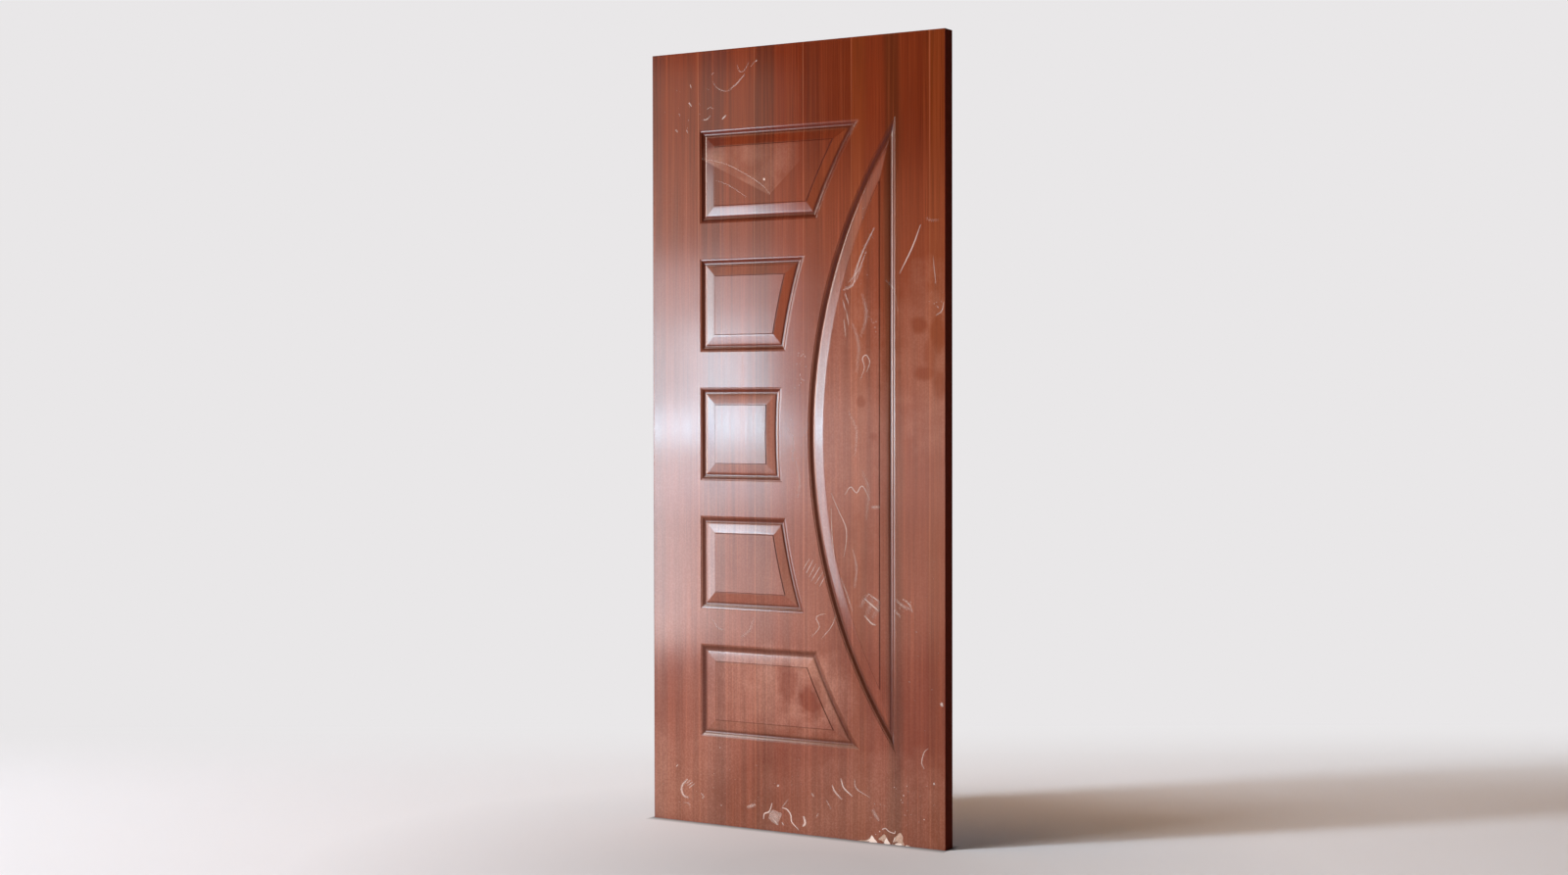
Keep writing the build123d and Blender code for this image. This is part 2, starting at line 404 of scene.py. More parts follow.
def timber_material():
    """Raw sawn softwood with growth rings along the piece."""
    material, tree, shader = new_material("softwood")
    rings = noise(tree, (30, 160, 2.5), detail=3)
    fibres = noise(tree, (400, 600, 12), detail=2)
    tone = ramp(tree, rings, [
        (0.35, srgb(214, 178, 128)), (0.5, srgb(203, 160, 108)), (0.65, srgb(178, 130, 82)),
    ])
    tone = mix(tree, spread(tree, fibres, 0.4, 0.75, 0, 0.4), tone, srgb(150, 108, 70))
    rough = vary(tree, fibres, 0.7, 0.85)
    finish_shader(tree, shader, tone, rough, bump(tree, fibres, 0.4, 0.0004))
    return material


# how strongly the dull edging mirrors its surroundings
EDGING_SHINE = 0.06


def edging_material():
    """Dark brown edging, nearly black, with faint upright streaks."""
    material, tree, shader = new_material("dark_edging")
    streaks = noise(tree, (200, 300, 1.5), detail=3)
    tone = ramp(tree, streaks, [(0.3, srgb(84, 27, 15)), (0.7, srgb(104, 36, 20))])
    rough = vary(tree, streaks, 0.6, 0.7)
    finish_shader(tree, shader, tone, rough, bump(tree, streaks, 0.1, 0.0002))
    shader.inputs["Specular IOR Level"].default_value = EDGING_SHINE
    return material


def finish_nodes(material, *names):
    """Puts a material in the slots of CAD nodes."""
    for name in names:
        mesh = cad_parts[name].data
        mesh.materials.clear()
        mesh.materials.append(material)


# the skins as they are pressed, in metres, laid out as the CAD skins are
BODY_HALF_WIDTH = 0.449
SKIN_THICKNESS = 0.0032
PANEL_LEFT_X = -0.296
PANEL_HEIGHT = 0.2528
PANEL_PITCH = 0.3488
PANEL_COUNT = 5
COLUMN_MIDDLE = 1.062
COLUMN_HEIGHT = 1.648
CHORD_X = 0.305
MOON_WIDTH = 0.262
BAND_BETWEEN_ARCS = 0.085
MOON_ARC_RADIUS = ((COLUMN_HEIGHT / 2) ** 2 + MOON_WIDTH ** 2) / (2 * MOON_WIDTH)
SMALL_ARC_RADIUS = MOON_ARC_RADIUS + BAND_BETWEEN_ARCS
ARC_CENTRE_X = CHORD_X - MOON_WIDTH + MOON_ARC_RADIUS
ARC_STEPS = 36
# the film lies a hair inside the CAD skin, which leaves room for the marks on it
FILM_SETBACK = 0.00006
FIELD_DEPTH = 0.0002
# chips along the foot of the front face, seen from the front: points across and up, in millimetres
CHIPS = (
    ((190, 0), (203, 2.5), (214, 3), (222, 6), (229, 12), (235, 20), (239, 15), (243, 9), (250, 4),
     (252, 0)),
    ((262, 0), (258, 5), (254, 11), (262, 18), (271, 25), (275, 23), (277, 19), (281, 13), (286, 6),
     (290, 0)),
    ((295, 0), (298, 9), (302, 19), (309, 25), (314, 31), (320, 33), (324, 28), (327, 22), (326, 12),
     (330, 5), (331, 0)),
    ((334, 0), (336, 4), (344, 3), (349, 0)),
)
CHIP_DEPTH = 0.0006
# how far a chip's floor lies inside its rim, as a share of the way to its middle
CHIP_FLOOR_INSET = 0.06
# which of a skin's two finishes is its bare fibre
BARE_FIBRE = 1
# edges that bend more sharply than this look sharp
SMOOTH_ANGLE = math.radians(40)

# the moulding's section: distances in from a panel's outline and depths below the face, in metres;
# the ovolo is a bevel, short and steep beside the groove and then long and even
OUTLINE = (0.0, 0.0)
SHOULDER_END = (0.0016, 0.001)
LEDGE_END = (0.0048, 0.0014)
COVE_END = (0.0134, 0.005)
GROOVE_END = (0.016, 0.005)
BEVEL_START = (0.021, 0.0036)
BEVEL_END = (0.0444, 0.0016)
LAND_END = (0.0462, 0.0016)
FIELD_EDGE = (0.048, FIELD_DEPTH)
# how much dirt and painted shade lies in the moulding: distances in from a panel's outline in metres, and
# its strength
GROOVE_SHADE_AND_DIRT = (
    (OUTLINE[0], 0), (0.0005, 0), (SHOULDER_END[0], 0.1), (LEDGE_END[0], 0.55), (COVE_END[0], 0.8),
    (GROOVE_END[0], 0.75), (0.02, 0.3), (0.023, 0), (BEVEL_END[0], 0), (LAND_END[0], 0.4),
    (0.047, 0.8), (FIELD_EDGE[0], 0),
)


def round_pairs(loop):
    """Each item of a closed loop with the one after it."""
    return list(zip(loop, loop[1:] + loop[:1]))


def add_piece(name, mesh, *finishes):
    """A finished mesh made into a piece of the scene."""
    data = bpy.data.meshes.new(name)
    mesh.to_mesh(data)
    mesh.free()
    for finish in finishes:
        data.materials.append(finish)
    piece = bpy.data.objects.new(name, data)
    bpy.context.scene.collection.objects.link(piece)
    return piece


def curve_between(start, end, start_slope, end_slope, steps):
    """Points of a smooth curve between two points of the moulding, by its slopes at both ends."""
    run = end[0] - start[0]
    points = []
    for step in range(1, steps + 1):
        t = step / steps
        from_start = 2 * t ** 3 - 3 * t ** 2 + 1
        from_end = 3 * t ** 2 - 2 * t ** 3
        start_pull = (t ** 3 - 2 * t ** 2 + t) * run * start_slope
        end_pull = (t ** 3 - t ** 2) * run * end_slope
        depth = from_start * start[1] + start_pull + from_end * end[1] + end_pull
        points.append((start[0] + run * t, depth))
    return points


def moulding_line():
    """The moulding's section from a panel's outline inwards: run and depth in metres, and arris flags."""
    shoulder = curve_between(OUTLINE, SHOULDER_END, 0.15, 1.0, 3)
    cove = curve_between(LEDGE_END, COVE_END, 0.55, 0.0, 6)
    ovolo = curve_between(GROOVE_END, BEVEL_START, -0.45, -0.1, 5)
    ovolo += curve_between(BEVEL_START, BEVEL_END, -0.1, -0.07, 6)
    step = curve_between(LAND_END, FIELD_EDGE, -1.1, -0.25, 3)
    line = [(*OUTLINE, True)]
    for part, arris in (
        (shoulder, True), ([LEDGE_END], True), (cove, False), ([GROOVE_END], True),
        (ovolo, False), ([LAND_END], True), (step, True),
    ):
        line += [(run, depth, False) for run, depth in part[:-1]]
        line.append((*part[-1], arris))
    return line


def groove_shade_and_dirt_at(run):
    """How much dirt and painted shade lies at one distance in from a panel's outline."""
    for (start, first), (end, second) in zip(GROOVE_SHADE_AND_DIRT, GROOVE_SHADE_AND_DIRT[1:]):
        if run <= end:
            return first + (second - first) * (run - start) / (end - start)
    return 0.0


def small_panel_ring(middle, inwards):
    """The outline of a small panel moved inwards, from its top left corner clockwise, and its corners."""
    left = PANEL_LEFT_X + inwards
    top = middle + PANEL_HEIGHT / 2 - inwards
    bottom = middle - PANEL_HEIGHT / 2 + inwards
    radius = SMALL_ARC_RADIUS + inwards
    points = [(left, top)]
    for step in range(ARC_STEPS + 1):
        z = top + (bottom - top) * step / ARC_STEPS
        points.append((ARC_CENTRE_X - math.sqrt(radius ** 2 - (z - COLUMN_MIDDLE) ** 2), z))
    points.append((left, bottom))
    return points, (0, 1, ARC_STEPS + 1, ARC_STEPS + 2)


def moon_panel_ring(inwards):
    """The half-moon's outline moved inwards, from its upper tip down its chord, and its two tips."""
    chord = CHORD_X - inwards
    radius = MOON_ARC_RADIUS - inwards
    half = math.acos((ARC_CENTRE_X - chord) / radius)
    points = []
    for step in range(2 * ARC_STEPS + 1):
        angle = -half + half * step / ARC_STEPS
        points.append((ARC_CENTRE_X - radius * math.cos(angle), COLUMN_MIDDLE + radius * math.sin(angle)))
    chord_points = [(chord, z) for _, z in reversed(points[1:-1])]
    return points[::-1] + chord_points[::-1], (0, 2 * ARC_STEPS)


def press_panel(mesh, ring, front):
    """The rings of one panel's moulding, joined side by side, and its flat field; returns its outline."""
    # painted shade and dirt for the grooves, kept on each vertex
    groove_shade_and_dirt = mesh.verts.layers.float["groove_shade_and_dirt"]
    rings, arrises = [], []
    for run, depth, arris in moulding_line():
        points, corners = ring(run)
        vertices = [mesh.verts.new((x, front + depth, z)) for x, z in points]
        for vertex in vertices:
            vertex[groove_shade_and_dirt] = groove_shade_and_dirt_at(run)
        rings.append(vertices)
        arrises += round_pairs(vertices) if arris else []
    for outer, inner in zip(rings, rings[1:]):
        for (start, end), (inner_start, inner_end) in zip(round_pairs(outer), round_pairs(inner)):
            mesh.faces.new((start, end, inner_end, inner_start))
        # every ring has its corners at the same places
        arrises += [(outer[corner], inner[corner]) for corner in corners]
    for pair in arrises:
        mesh.edges.get(pair).smooth = False
    mesh.faces.new(rings[-1])
    return rings[0]


def sink_chip(mesh, rim, depth):
    """A chip's walls and floor inside its rim, which starts and ends on the bottom edge."""
    middle = sum((vertex.co for vertex in rim), Vector()) / len(rim)
    floor = []
    for vertex in rim:
        inwards = (middle - vertex.co) * CHIP_FLOOR_INSET
        height = 0.0 if vertex.co.z == 0 else vertex.co.z + inwards.z
        floor.append(mesh.verts.new((vertex.co.x + inwards.x, vertex.co.y + depth, height)))
    faces = [mesh.faces.new((rim[i], rim[i + 1], floor[i + 1], floor[i])) for i in range(len(rim) - 1)]
    faces.append(mesh.faces.new(floor))
    for face in faces:
        face.material_index = BARE_FIBRE
        for edge in face.edges:
            edge.smooth = False


def pressed_sheet(name, chips, *finishes):
    """One pressed skin's front surface, before it gets its thickness."""
    front = FRONT_Y + FILM_SETBACK
    mesh = bmesh.new()
    mesh.verts.layers.float.new("groove_shade_and_dirt")
    outlines = [press_panel(mesh, moon_panel_ring, front)]
    for number in range(PANEL_COUNT):
        middle = COLUMN_MIDDLE + PANEL_PITCH * ((PANEL_COUNT - 1) / 2 - number)
        outlines.append(press_panel(mesh, lambda inwards: small_panel_ring(middle, inwards), front))
    rims = [[mesh.verts.new((x / 1000, front, z / 1000)) for x, z in chip] for chip in chips]
    ends = [mesh.verts.new((side * BODY_HALF_WIDTH, front, z)) for side, z in (
        (-1, 0), (1, 0), (1, LEAF_HEIGHT), (-1, LEAF_HEIGHT),
    )]
    border = ends[:1] + [vertex for rim in rims for vertex in rim] + ends[1:]
    for rim in rims:
        sink_chip(mesh, rim, CHIP_DEPTH)
    for pair in round_pairs(border):
        (mesh.edges.get(pair) or mesh.edges.new(pair)).smooth = False
    loops = [border] + outlines
    order = [vertex for loop in loops for vertex in loop]
    for triangle in tessellate_polygon([[vertex.co for vertex in loop] for loop in loops]):
        mesh.faces.new([order[index] for index in triangle])
    for face in mesh.faces:
        face.smooth = True
    mesh.normal_update()
    bmesh.ops.recalc_face_normals(mesh, faces=mesh.faces)
    return add_piece(name, mesh, *finishes)


def pick(piece):
    """Makes one object the only selected and the active one."""
    bpy.ops.object.select_all(action="DESELECT")
    piece.select_set(True)
    bpy.context.view_layer.objects.active = piece


def turn_faces(piece, mirrored=False):
    """Turns a piece's faces to their other side, and first mirrors it through the leaf if asked."""
    pick(piece)
    bpy.ops.object.mode_set(mode="EDIT")
    bpy.ops.mesh.select_all(action="SELECT")
    if mirrored:
        bpy.ops.transform.mirror(constraint_axis=(False, True, False), center_override=(0, 0, 0))
    bpy.ops.mesh.flip_normals()
    bpy.ops.object.mode_set(mode="OBJECT")


def front_faces_out(sheet):
    """Turns the sheet's faces so that they point to the front."""
    facing = sum(polygon.normal.y * polygon.area for polygon in sheet.data.polygons)
    if facing > 0:
        turn_faces(sheet)


def give_thickness(sheet):
    """The sheet made as thick as the fibreboard, with bare fibre on its inside and round its rim."""
    pick(sheet)
    solidify = sheet.modifiers.new("fibreboard", "SOLIDIFY")
    solidify.thickness = SKIN_THICKNESS
    solidify.offset = -1
    solidify.material_offset = BARE_FIBRE
    solidify.material_offset_rim = BARE_FIBRE
    bpy.ops.object.modifier_apply(modifier="fibreboard")
    bpy.ops.object.shade_smooth_by_angle(angle=SMOOTH_ANGLE, keep_sharp_edges=True)


def pressed_skins(film_finish, fibre_finish):
    """Both pressed skins: the front one with its chips, and its sound twin turned to the back."""
    front = pressed_sheet("front_film_face", CHIPS, film_finish, fibre_finish)
    back = pressed_sheet("back_film_face", (), film_finish, fibre_finish)
    for sheet in (front, back):
        front_faces_out(sheet)
        give_thickness(sheet)
        for vertex in sheet.data.vertices:
            vertex.co.z = max(vertex.co.z, 0)
    turn_faces(back, mirrored=True)
    for piece, node in ((front, "front_skin"), (back, "back_skin")):
        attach(piece, "root")
        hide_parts(node)


# marks on the front face as they lie in the photograph, in its pixels: how wide a stroke is, how
# strong in per cent, then the points that it runs through
STROKES = (
    # top left corner
    (1.4, 26, (745, 91), (752, 85), (760, 76)),
    (0.9, 20, (752, 66), (754, 72), (758, 73), (762, 68), (764, 63)),
    (0.8, 18, (766, 68), (769, 64), (772, 62)), (1.2, 14, (727, 83), (732, 90), (740, 93), (747, 91)),
    (1, 30, (704, 86), (705.5, 90)), (1.3, 30, (703, 105), (706, 109)),
    (0.8, 22, (692.5, 115), (694, 119)), (1.1, 28, (689, 132), (691.5, 135)),
    (0.9, 25, (700, 132), (702, 136)), (1.2, 30, (717, 122.5), (721, 122), (725, 118)),
    (1, 20, (721, 112), (725, 109.5), (728, 112)), (1.6, 40, (736.5, 122), (741, 117.5)),
    (0.8, 20, (726, 76.5), (728, 74)),
    # upper small panel
    (0.9, 16, (731, 184), (745, 190), (762, 201)),
    (0.9, 20, (716, 162), (742, 168), (774, 186), (786, 198)),
    # left of the half-moon
    (0.8, 35, (819, 582), (826, 570)), (0.9, 40, (822, 586), (830, 571)),
    (0.8, 35, (825, 590), (833, 575)), (1, 40, (828, 593), (837, 578)),
    (0.8, 35, (832, 596), (840, 583)), (0.9, 35, (836, 599), (842, 588)),
    (1, 35, (828, 650), (836, 640), (833, 630), (842, 626)),
    (0.9, 30, (838, 652), (848, 640), (853, 628)), (1.4, 25, (727, 632), (732, 640), (738, 643)),
    # right stile
    (1.1, 55, (939.5, 229), (931, 252), (918, 279)),
    (1, 50, (947, 764), (943, 768), (940.5, 778), (943, 785)), (0.8, 35, (952, 262), (955, 290)),
    (1.2, 35, (955, 322), (961, 317), (963, 308)), (2.6, 22, (914, 612), (922, 619), (930, 622)),
    (2, 20, (912, 622), (919, 630)), (1.6, 30, (921, 611), (928, 617), (931, 625)),
    (2.4, 8, (945, 222), (951, 225), (958, 224)), (1.6, 10, (903, 285), (912, 296), (916, 318)),
    (2, 16, (804, 436), (810, 452), (808, 470)), (1.6, 20, (812, 470), (816, 490), (814, 508)),
    (2.6, 14, (756, 650), (764, 644), (770, 630)),
    # foot of the leaf
    (1, 45, (692, 780), (690, 782.5)),
    (2.2, 45, (702, 795), (697, 800), (695.5, 806), (698, 812), (703, 814)),
    (0.9, 40, (700, 800), (705, 796)), (0.9, 40, (701, 802), (707, 798)),
    (0.9, 40, (703, 804), (709, 799.5)), (1.1, 40, (715, 809), (718, 813), (716, 815)),
    (0.9, 25, (697, 819), (703, 820), (704, 825)), (3, 30, (762, 824), (771, 821)),
    (1.3, 75, (779, 836), (780, 830.5), (785, 828), (788, 819.5)),
    (1.3, 80, (798, 824.5), (803, 826), (807, 832), (808, 839), (815, 847)),
    (2.4, 50, (788, 835), (794, 842)), (1.2, 55, (798, 839), (799.5, 842.5)),
    (2.2, 75, (820, 833), (821.5, 840), (819, 843.5)), (1, 30, (798, 824), (804, 816)),
    (1.6, 35, (828, 809), (830.5, 813.5)), (1.9, 45, (849, 801), (852, 808), (859, 816)),
    (1.5, 60, (858, 794.5), (861, 804), (870, 813)), (1.2, 35, (872, 795), (874, 805), (888, 814)),
    (0.9, 25, (843, 816), (848, 826)), (1, 35, (835, 830), (833, 834)),
    (3.4, 22, (890, 826), (897, 838)),
    (0.9, 95, (900, 846.5), (903.5, 845.5), (907, 848.5), (912.5, 850.5), (913.5, 848)),
)
# the same on the half-moon's raised field
FIELD_STROKES = (
    (1.6, 35, (892.5, 232), (887, 243), (880.5, 256.5), (874, 275), (870, 291), (860, 296)),
    (1.2, 30, (888, 240), (878, 262), (868, 290)), (1.4, 28, (884, 256), (876, 276), (866, 288)),
    (1, 25, (880, 270), (872, 288), (862, 294)), (1.2, 30, (862, 299), (866, 310)),
    (1.2, 28, (860, 306), (863, 318)), (1.2, 28, (864, 318), (866, 332)),
    (1.2, 25, (861, 326), (863, 344)),
    (1, 45, (878, 387), (882, 375), (880, 366), (884, 362.5), (887.5, 370), (884, 380)),
    (1.1, 45, (862, 505), (868, 497), (874, 503), (880, 496), (888, 511)),
    (0.9, 45, (848, 503), (856, 522), (863, 538), (863.5, 553), (861, 568)),
    (0.9, 35, (848, 516), (849, 545), (852, 574)), (3, 25, (889, 517.5), (898, 517.5)),
    (2, 50, (882, 611), (890, 618), (897, 624)), (1.8, 45, (882, 628), (889, 636), (894, 638)),
    (5, 12, (884, 628), (888, 619), (891, 610)), (4.6, 12, (890, 632), (894, 623), (897, 614)),
    (3.6, 12, (878, 620), (882, 612), (886, 606)), (1.8, 30, (886, 606), (893, 611), (898, 615)),
    (3.4, 12, (870, 330), (876, 352), (874, 380)), (3, 12, (880, 300), (884, 322), (878, 344)),
    (2.4, 14, (866, 420), (874, 440), (872, 466)), (3, 12, (880, 480), (886, 500), (884, 530)),
    (2, 18, (870, 560), (874, 580), (872, 600)), (1.6, 20, (858, 590), (864, 606), (870, 624)),
)
# single flecks: where each lies, how large it is, and how strong in per cent
FLECKS = (
    (771.5, 62, 1.1, 50), (779.5, 183, 1.6, 80), (735, 763, 0.9, 50), (794, 802, 1.6, 60),
    (736, 822, 1.2, 40), (953, 800, 1.8, 50), (912.5, 803.5, 0.7, 70), (925.5, 802.5, 0.6, 70),
    (922, 812, 0.9, 80), (919.5, 816.5, 0.7, 70), (921, 819, 0.7, 70), (943, 836.5, 0.9, 80),
    (961, 719.5, 2.4, 60), (897.5, 848.5, 0.8, 80), (893.5, 851.5, 0.7, 70), (935, 645, 0.9, 40),
    (928, 696, 0.8, 40),
)
# loose showers of flecks: the middle, half-width and half-height, how many, and how strong in per cent
SHOWERS = (
    (817, 376, 6, 24, 26, 75), (957, 311, 6, 12, 12, 50), (890, 330, 9, 7, 9, 50),
    (915, 820, 30, 22, 26, 45), (720, 800, 45, 25, 24, 35), (800, 800, 60, 30, 30, 30),
    (700, 120, 25, 30, 16, 25), (811, 455, 8, 45, 26, 40), (884, 250, 10, 40, 18, 25),
    (925, 616, 12, 12, 14, 50), (946, 640, 14, 90, 16, 30),
)
# a wiped pale patch by the foot, and how strong it is in its middle and at its rim
PALE_PATCH_STRENGTHS = (0.5, 0.3)
PALE_PATCH = (
    (788, 826), (793, 828), (798, 830), (796, 836), (793, 842), (788, 839), (784, 835), (785, 830),
)
# torn bits of bare fibre left in the chips: how deep each lies below the film and how far its middle
# is raised, in millimetres, and its outline in the photograph's pixels
FIBRE_BITS = (
    (0.1, 0.1, (886.3, 859.2), (888, 858.2), (891, 857.9), (894.5, 858.8), (896.4, 860.4), (891, 860.2)),
    (0.2, 0.1, (884.5, 858), (888, 856), (889.3, 852.8), (891, 853.8), (893, 857), (894.5, 858.6),
     (889, 858.4)),
    (0.1, 0.1, (902, 860), (903.1, 857.2), (904.8, 855), (906, 858), (909, 859.1), (909.6, 861.2),
     (907, 862), (903.2, 861.6)),
    (0.1, 0.1, (912.9, 861.8), (914.8, 860.7), (919.2, 860.8), (920.8, 862.5), (918.8, 863.8),
     (915, 863.2)),
    (0.2, 0.1, (908.4, 859.2), (910, 857.8), (911.7, 855), (913.4, 853.2), (913, 857), (911, 859.6),
     (909.8, 860.4)),
    (0.1, 0.1, (922.8, 863.1), (925, 862.8), (928.4, 864.2), (927.5, 865.2), (925.3, 865.1),
     (923.2, 864.4)),
    (0.08, 0.06, (900, 846.6), (902.5, 845), (904, 846.6), (902.2, 847.2)),
)
# and, laid the same way, bits in the film's tone where the chips lie in shade: painted shade
FILM_TONED_CHIP_SHADE = (
    (0.2, 0.1, (895, 856), (899.3, 857.8), (902.3, 859.7), (901.3, 861.3), (898.1, 861), (896.3, 859.4)),
    (0.2, 0.1, (910.2, 860.8), (913.6, 859.2), (916.6, 859.4), (914, 861.5), (912, 862.2)),
)
MARK_HEIGHT = 0.00003
STROKE_STEPS = 6
# a stroke's half-width as a share of its traced width, and how much of it its thin ends keep
STROKE_HALF_WIDTH = 0.8
STROKE_END_WIDTH = 0.6
# a stroke's strength rises and falls in half a wave: how much of the wave is cut off at each end, the
# wave's power, its gain and its limit
STROKE_END_FADE = 0.12
STROKE_FADE_POWER = 0.7
STROKE_GAIN = 1.5
STROKE_LIMIT = 1.1
# a fleck's sides and how uneven they are, its strength in its middle and at its rim, and how large
# and how strong the flecks of a shower are
FLECK_SIDES = 8
FLECK_REACH = (0.6, 1.1)
FLECK_GAIN = 1.4
FLECK_RIM_SHARE = 0.4
SHOWER_SIZES = (0.3, 0.8)
SHOWER_STRENGTHS = (0.5, 1)


def on_face(across, down, depth):
    """The point on the leaf's front that the photograph shows at a pixel, at a depth below the face."""
    right, up, forward = camera_axes()
    sight = forward * FOCAL_PIXELS + right * (across - IMAGE_WIDTH / 2) - up * (down - IMAGE_HEIGHT / 2)
    level = FRONT_Y + FILM_SETBACK + depth - MARK_HEIGHT
    return CAMERA_PLACE + sight * ((level - CAMERA_PLACE.y) / sight.y)


def smooth_run(points):
    """More points along a smooth curve through the given ones."""
    ends = [points[0] * 2 - points[1]] + points + [points[-1] * 2 - points[-2]]
    run = []
    for first, start, end, last in zip(ends, ends[1:], ends[2:], ends[3:]):
        for step in range(STROKE_STEPS):
            t = step / STROKE_STEPS
            run.append((start * 2 + (end - first) * t + (first * 2 - start * 5 + end * 4 - last) * t ** 2
                        + (start * 3 - first - end * 3 + last) * t ** 3) / 2)
    return run + [points[-1]]


def draw_stroke(mesh, layer, width, strength, points, depth):
    """A flat ribbon along one stroke, faint at its edges and its ends."""
    run = smooth_run([on_face(*point, depth) for point in points])
    rows = []
    for index, point in enumerate(run):
        ahead = run[min(index + 1, len(run) - 1)] - run[max(index - 1, 0)]
        side = ahead.cross(Vector((0, 1, 0))).normalized()
        along = STROKE_END_FADE + (1 - 2 * STROKE_END_FADE) * index / (len(run) - 1)
        taper = math.sin(math.pi * along) ** STROKE_FADE_POWER
        share = STROKE_HALF_WIDTH * (STROKE_END_WIDTH + (1 - STROKE_END_WIDTH) * taper)
        half = side * (width * PIXEL_ON_FACE * share)
        row = [mesh.verts.new(point - half), mesh.verts.new(point), mesh.verts.new(point + half)]
        row[1][layer] = min(STROKE_GAIN * strength * taper, STROKE_LIMIT)
        rows.append(row)
    for row, after in zip(rows, rows[1:]):
        for side in (0, 1):
            mesh.faces.new((row[side], row[side + 1], after[side + 1], after[side]))


def draw_fan(mesh, middle, rim):
    """A fan from a middle point out to a rim: its middle vertex, its rim's vertices and its faces."""
    centre = mesh.verts.new(middle)
    around = [mesh.verts.new(point) for point in rim]
    return centre, around, [mesh.faces.new((centre, *pair)) for pair in round_pairs(around)]


def draw_patch(mesh, layer, rim, middle, strength, rim_strength):
    """A flat patch inside a rim, strongest in the middle."""
    centre, around, _ = draw_fan(mesh, middle, rim)
    centre[layer] = strength
    for vertex in around:
        vertex[layer] = rim_strength


def draw_fleck(mesh, layer, across, down, size, strength, chance):
    """A small uneven fleck."""
    middle = on_face(across, down, 0)
    rim = []
    for step in range(FLECK_SIDES):
        angle = 2 * math.pi * step / FLECK_SIDES
        reach = size * PIXEL_ON_FACE * chance.uniform(*FLECK_REACH)
        rim.append(middle + Vector((math.cos(angle), 0, math.sin(angle))) * reach)
    draw_patch(mesh, layer, rim, middle, FLECK_GAIN * strength, FLECK_RIM_SHARE * strength)


def dust_marks(finish):
    """Scratches, wiped smears and flecks of dust on the front face, as one thin piece."""
    chance = random.Random(12)
    mesh = bmesh.new()
    layer = mesh.verts.layers.float.new("strength")
    for strokes, depth in ((STROKES, 0), (FIELD_STROKES, FIELD_DEPTH)):
        for width, strength, *points in strokes:
            draw_stroke(mesh, layer, width, strength / 100, points, depth)
    for across, down, size, strength in FLECKS:
        draw_fleck(mesh, layer, across, down, size, strength / 100, chance)
    for across, down, half_width, half_height, count, strength in SHOWERS:
        for _ in range(count):
            x = chance.gauss(across, half_width / 2)
            y = chance.gauss(down, half_height / 2)
            size = chance.uniform(*SHOWER_SIZES)
            faded = strength / 100 * chance.uniform(*SHOWER_STRENGTHS)
            draw_fleck(mesh, layer, x, y, size, faded, chance)
    rim = [on_face(*point, 0) for point in PALE_PATCH]
    draw_patch(mesh, layer, rim, sum(rim, Vector()) / len(rim), *PALE_PATCH_STRENGTHS)
    marks = add_piece("dust_marks", mesh, finish)
    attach(marks, "root")


def torn_bits(fibre_finish, film_finish):
    """Bits of fibre that still hang in the chips, and bits in the film's tone as painted shade in them,
    as one piece.
    """
    mesh = bmesh.new()
    # the second set is painted shade in the film's tone
    for finish, bits in enumerate((FIBRE_BITS, FILM_TONED_CHIP_SHADE)):
        for depth, raised, *rim in bits:
            points = [on_face(*point, depth / 1000) for point in rim]
            for point in points:
                point.z = max(point.z, 0.0)
            middle = sum(points, Vector()) / len(points) - Vector((0, raised / 1000, 0))
            for face in draw_fan(mesh, middle, points)[2]:
                face.material_index = finish
    bits = add_piece("torn_bits", mesh, fibre_finish, film_finish)
    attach(bits, "root")


def pale_fibre_material():
    """Bright fluffy fibre on the torn bits."""
    material, tree, shader = new_material("torn_fibre")
    fibres = noise(tree, (1100, 1100, 1100), detail=3, rough=0.6)
    tone = ramp(tree, fibres, [(0.35, srgb(226, 206, 192)), (0.6, srgb(250, 240, 230))])
    finish_shader(tree, shader, tone, 0.85, bump(tree, fibres, 0.5, 0.0003))
    return material


def mark_material():
    """Pale dust in scratches and smears, clear where it thins out."""
    material, tree, shader = new_material("pale_dust")
    strength = add_node(tree, "Attribute", attribute_name="strength", attribute_type="GEOMETRY")
    grains = noise(tree, (900, 900, 900), detail=3)
    grained = spread(tree, grains, 0.35, 0.6, 0.55, 1.1)
    cover = maths(tree, "MULTIPLY", strength.outputs["Fac"], grained, clamp=True)
    tone = mix(tree, vary(tree, grains), srgb(214, 184, 170), srgb(240, 226, 218))
    finish_shader(tree, shader, tone, 0.8, bump(tree, grains, 0.3, 0.0002))
    clear = add_node(tree, "BsdfTransparent").outputs["BSDF"]
    show(tree, shader_choice(tree, cover, clear, shader.outputs["BSDF"]))
    return material


def fibre_material():
    """Raw pressed fibreboard, where the film ends or is broken away."""
    material, tree, shader = new_material("bare_fibreboard")
    fibres = noise(tree, (900, 900, 900), detail=4, rough=0.65)
    clumps = noise(tree, (140, 140, 140), detail=2, shift=(2, 0, 0))
    tone = ramp(tree, fibres, [
        (0.3, srgb(158, 124, 104)), (0.5, srgb(196, 168, 148)), (0.7, srgb(222, 204, 188)),
    ])
    tone = mix(tree, spread(tree, clumps, 0.4, 0.7, 0, 0.35), tone, srgb(140, 100, 78))
    finish_shader(tree, shader, tone, 0.9, bump(tree, fibres, 0.6, 0.0004))
    return material


# the floor's tone and its dull finish
FLOOR_TONE = (234, 231, 231)
FLOOR_ROUGHNESS = 0.9
FLOOR_SHINE = 0.2
# how dark the floor is under the leaf's foot, and how far out from its faces that reaches
FOOT_SHADE = 0.25
FOOT_SHADE_REACH = 0.035
